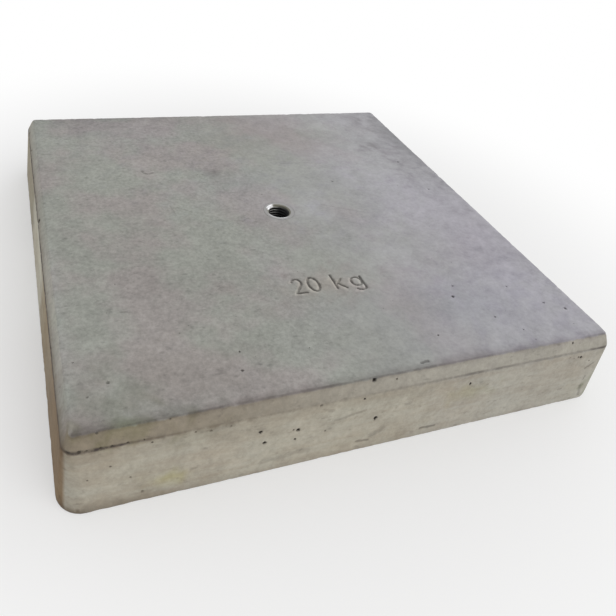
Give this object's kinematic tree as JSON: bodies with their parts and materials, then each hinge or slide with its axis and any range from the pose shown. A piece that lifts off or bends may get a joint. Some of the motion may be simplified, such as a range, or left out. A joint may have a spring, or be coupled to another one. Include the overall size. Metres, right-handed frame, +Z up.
{
  "type": "concrete base",
  "caption": "Square cast concrete slab base with a bevelled top edge and a cast-in threaded steel socket that holds a sign post or flag pole.",
  "frame": {"origin": "middle of the foot, on the plane that the slab stands on", "axes": "+Z up along the axis of the socket, out of its mouth; X and Y square to the walls, with the weight mark on the -Y side of the socket and read from -Y"},
  "size_m": [0.4, 0.4, 0.058],
  "materials": {
    "concrete": "cast concrete, grey on the smooth top face, warmer and streaked on the walls",
    "socket_steel": "turned zinc-coated steel, bright at the mouth and dark down the thread",
    "plate_steel": "plain mild steel plate with a weld bead"
  },
  "bodies": {
    "root": {"concrete_slab": "concrete", "threaded_socket": "socket_steel", "anchor_plate": "plate_steel"}
  },
  "joints": []
}
